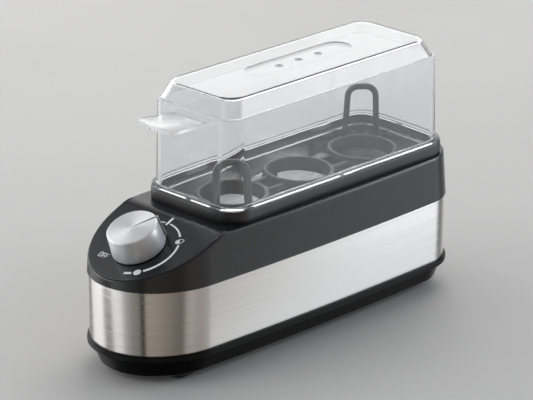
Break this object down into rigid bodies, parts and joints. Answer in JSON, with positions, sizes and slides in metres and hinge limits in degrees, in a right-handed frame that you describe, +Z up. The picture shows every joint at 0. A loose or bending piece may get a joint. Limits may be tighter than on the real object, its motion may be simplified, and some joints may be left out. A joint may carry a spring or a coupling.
{
  "type": "electric egg cooker",
  "caption": "Narrow electric egg cooker with a round control knob on a sloping panel, a brushed steel band, a heated water dish, a lift-out egg rack and a clear lid with steam holes.",
  "frame": {"origin": "middle of the bounding box, on the surface that the feet stand on", "axes": "+Z up, +Y from the control knob at the front towards the cord gland at the back, +X to the right seen from the front"},
  "size_m": [0.0758, 0.2232, 0.1351],
  "materials": {
    "base_plastic": "satin black",
    "rubber": "matt black",
    "brushed_steel": "brushed along the band",
    "housing_plastic": "satin, fine moulded texture",
    "collar_plastic": "satin",
    "silicone": "matt",
    "dish_steel": "polished",
    "plain_aluminium": "plain",
    "heater_steel": "plain",
    "spring_steel": "zinc plated",
    "fuse_shell": "plain",
    "board_laminate": "solder mask",
    "relay_plastic": "moulded",
    "capacitor_plastic": "moulded",
    "terminal_plastic": "moulded",
    "brass": "turned",
    "knob_aluminium": "spun top, satin side",
    "pointer_inlay": "satin",
    "rack_plastic": "satin",
    "clear_plastic": "clear, polished"
  },
  "bodies": {
    "body": {"base_shell": "base_plastic", "rubber_feet": "rubber", "steel_band": "brushed_steel", "cord_gland": "rubber", "upper_housing": "housing_plastic", "rim_collar": "collar_plastic", "dish_seal": "silicone", "heating_dish": "dish_steel", "heat_spreader": "plain_aluminium", "heating_element": "heater_steel", "temperature_sensor": "plain_aluminium", "sensor_clip": "spring_steel", "thermal_fuse": "fuse_shell", "fuse_clip": "spring_steel", "control_board": "board_laminate", "power_relay": "relay_plastic", "film_capacitor": "capacitor_plastic", "buzzer": "base_plastic", "terminal_block": "terminal_plastic", "heater_leads": "brass", "rotary_control": "plain_aluminium", "control_nut": "brass"},
    "knob": {"knob_shell": "knob_aluminium", "knob_pointer": "pointer_inlay", "knob_core": "base_plastic", "control_shaft": "plain_aluminium"},
    "rack": {"egg_rack": "rack_plastic"},
    "cover": {"lid": "clear_plastic"}
  },
  "joints": [
    {"name": "knob_turn", "type": "hinge", "parent": "body", "child": "knob", "pos_m": [0, -0.08775, 0.06382], "axis": [0, -0.3814, 0.9244], "range_deg": [-124.5, 158.5]},
    {"name": "rack_lift", "type": "slide", "parent": "body", "child": "rack", "axis": [0, 0, 1], "range_m": [0, 0.022]},
    {"name": "lid_lift", "type": "slide", "parent": "body", "child": "cover", "axis": [0, 0, 1], "range_m": [0, 0.07]}
  ]
}
